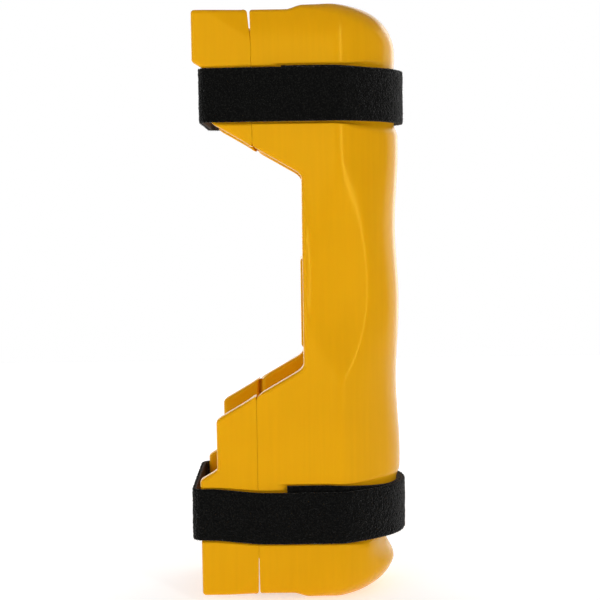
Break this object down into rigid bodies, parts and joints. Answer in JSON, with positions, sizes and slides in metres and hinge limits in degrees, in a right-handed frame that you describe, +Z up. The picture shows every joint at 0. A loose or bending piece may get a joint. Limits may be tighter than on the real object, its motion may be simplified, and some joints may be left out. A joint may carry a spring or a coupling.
{
  "type": "rack upright guard",
  "caption": "Strap-on moulded impact guard for a storage-rack upright: round nose, cut-away sides, folding rear wings and hook-and-loop straps.",
  "frame": {"origin": "middle of the seat pad's face, which rests on the front of the upright, at mid-height", "axes": "+X forward out of the nose, +Y to the left side, +Z up along the upright"},
  "size_m": [0.168, 0.1072, 0.457],
  "materials": {
    "guard_plastic": "moulded polyethylene, soft gloss with fine flow lines",
    "web_plastic": "thin pinched polyethylene",
    "loop_tape": "brushed loop pile",
    "hook_tape": "woven hook tape"
  },
  "bodies": {
    "root": {"guard_body": "guard_plastic", "seat_pad": "guard_plastic", "hinge_upper_left": "web_plastic", "hinge_upper_right": "web_plastic", "hinge_lower_left": "web_plastic", "hinge_lower_right": "web_plastic", "strap_upper_loop": "loop_tape", "strap_upper_hook": "hook_tape", "strap_lower_loop": "loop_tape", "strap_lower_hook": "hook_tape"},
    "wing_upper_left": {"wing_upper_left": "guard_plastic"},
    "wing_upper_right": {"wing_upper_right": "guard_plastic"},
    "wing_lower_left": {"wing_lower_left": "guard_plastic"},
    "wing_lower_right": {"wing_lower_right": "guard_plastic"},
    "strap_upper_tail": {"strap_upper_tail_loop": "loop_tape", "strap_upper_tail_hook": "hook_tape"},
    "strap_lower_tail": {"strap_lower_tail_loop": "loop_tape", "strap_lower_tail_hook": "hook_tape"}
  },
  "joints": [
    {"name": "wing_upper_left_fold", "type": "hinge", "parent": "root", "child": "wing_upper_left", "pos_m": [-0.0349, 0.046, 0.17], "axis": [0, 0, 1], "range_deg": [0, 25], "stiffness_Nm_per_rad": 0.4, "deforming": ["hinge_upper_left"]},
    {"name": "wing_upper_right_fold", "type": "hinge", "parent": "root", "child": "wing_upper_right", "pos_m": [-0.0349, -0.046, 0.17], "axis": [0, 0, -1], "range_deg": [0, 25], "stiffness_Nm_per_rad": 0.4, "deforming": ["hinge_upper_right"]},
    {"name": "wing_lower_left_fold", "type": "hinge", "parent": "root", "child": "wing_lower_left", "pos_m": [-0.0349, 0.046, -0.145], "axis": [0, 0, 1], "range_deg": [0, 25], "stiffness_Nm_per_rad": 0.4, "deforming": ["hinge_lower_left"]},
    {"name": "wing_lower_right_fold", "type": "hinge", "parent": "root", "child": "wing_lower_right", "pos_m": [-0.0349, -0.046, -0.145], "axis": [0, 0, -1], "range_deg": [0, 25], "stiffness_Nm_per_rad": 0.4, "deforming": ["hinge_lower_right"]},
    {"name": "strap_upper_tail_peel", "type": "hinge", "parent": "root", "child": "strap_upper_tail", "pos_m": [0.025, 0.0536, 0.1598], "axis": [0, 0, -1], "range_deg": [0, 75]},
    {"name": "strap_lower_tail_peel", "type": "hinge", "parent": "root", "child": "strap_lower_tail", "pos_m": [0.025, 0.0536, -0.162], "axis": [0, 0, -1], "range_deg": [0, 75]}
  ]
}
